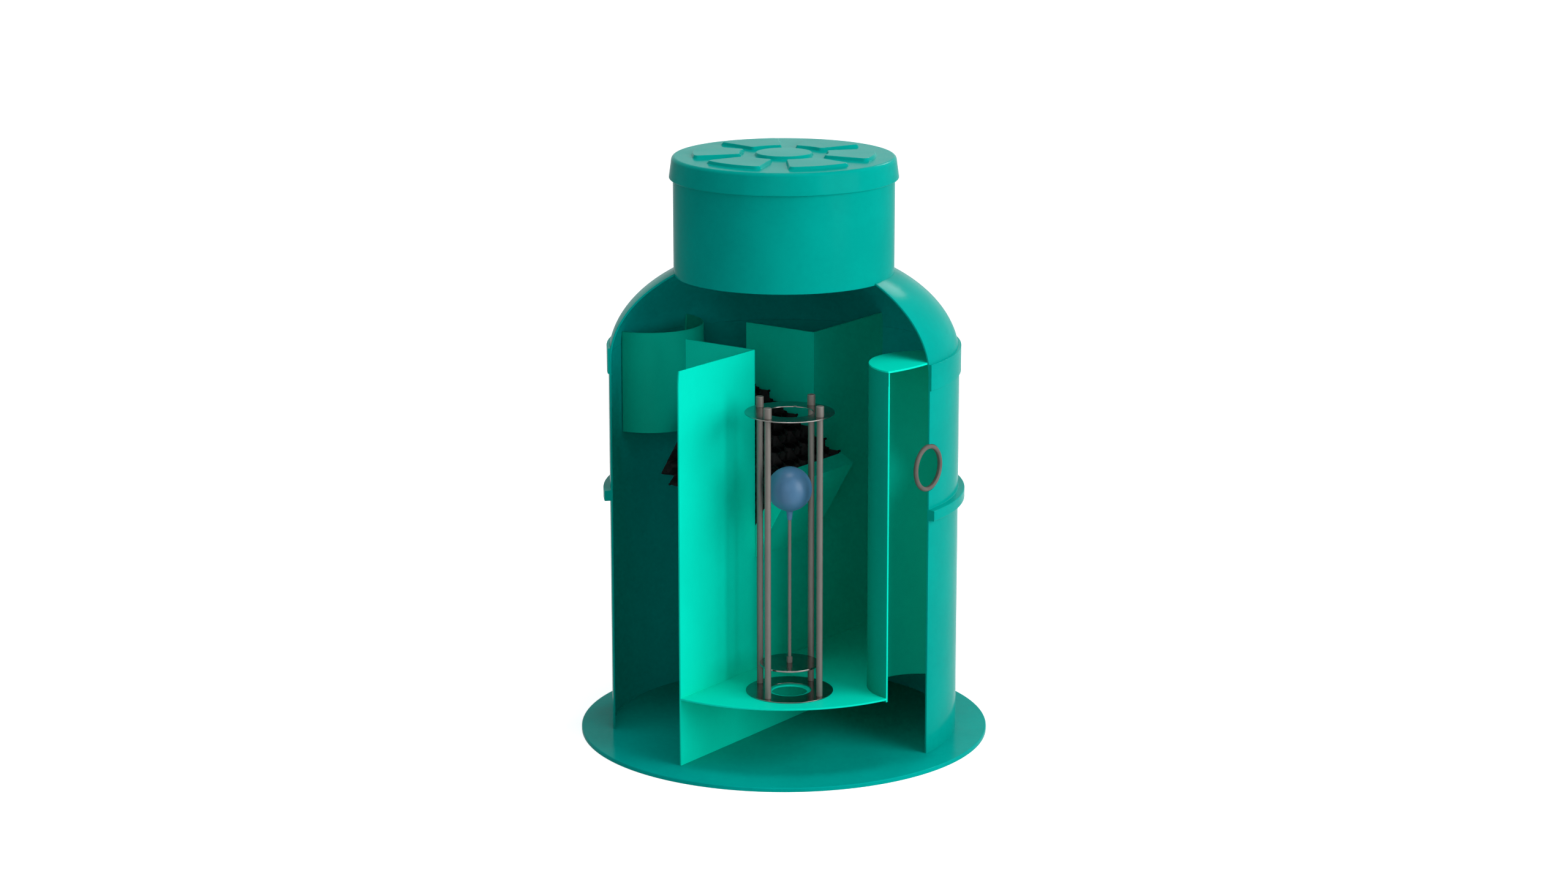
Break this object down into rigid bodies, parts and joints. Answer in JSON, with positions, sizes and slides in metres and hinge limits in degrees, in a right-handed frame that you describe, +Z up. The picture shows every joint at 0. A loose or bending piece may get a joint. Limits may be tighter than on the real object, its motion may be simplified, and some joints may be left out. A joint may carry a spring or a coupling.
{
  "type": "vertical oil separator tank",
  "caption": "Vertical glass fibre oil separator in cutaway, with partition, tilted coalescer pack, outlet pocket, float closing valve and access neck with cover.",
  "frame": {"origin": "centre of the base plate's underside", "axes": "+Z up along the tank's axis, +X towards the outlet, -X towards the inlet, the cutaway opens towards -Y"},
  "size_m": [1.1798, 1.18, 1.691],
  "materials": {
    "gelcoat": "glossy green gelcoat on glass fibre laminate",
    "inner_gelcoat": "smooth green laminate plate",
    "stainless": "dark brushed stainless steel",
    "rubber": "matt grey rubber",
    "lamella": "black corrugated plastic sheet",
    "float_blue": "blue moulded plastic"
  },
  "bodies": {
    "tank": {"base_plate": "gelcoat", "shell_wall_outlet_side": "gelcoat", "shell_wall_rear": "gelcoat", "shell_wall_inlet_side": "gelcoat", "dome_head": "gelcoat", "joint_band": "gelcoat", "shell_rib": "gelcoat", "neck": "gelcoat", "cover": "gelcoat", "partition_wall": "inner_gelcoat", "bay_wall_front": "inner_gelcoat", "bay_wall_rear": "inner_gelcoat", "coalescer_cradle": "inner_gelcoat", "outlet_pocket": "inner_gelcoat", "outlet_pocket_lid": "inner_gelcoat", "inlet_deflector": "inner_gelcoat", "valve_shelf": "inner_gelcoat", "outlet_seal": "rubber", "inlet_seal": "rubber", "valve_base_ring": "stainless", "valve_top_ring": "stainless", "column_caps": "stainless", "coalescer_sheet_1": "lamella", "coalescer_sheet_2": "lamella", "coalescer_sheet_3": "lamella", "coalescer_sheet_4": "lamella", "coalescer_sheet_5": "lamella", "coalescer_sheet_6": "lamella", "coalescer_sheet_7": "lamella", "coalescer_sheet_8": "lamella", "guide_column_1": "stainless", "guide_column_2": "stainless", "guide_column_3": "stainless", "guide_column_4": "stainless"},
    "float_valve": {"float_ball": "float_blue", "float_stem": "stainless", "valve_disc": "stainless", "stem_nut": "stainless"}
  },
  "joints": [
    {"name": "float_lift", "type": "slide", "parent": "tank", "child": "float_valve", "axis": [0, 0, 1], "range_m": [-0.0745, 0.12]}
  ]
}
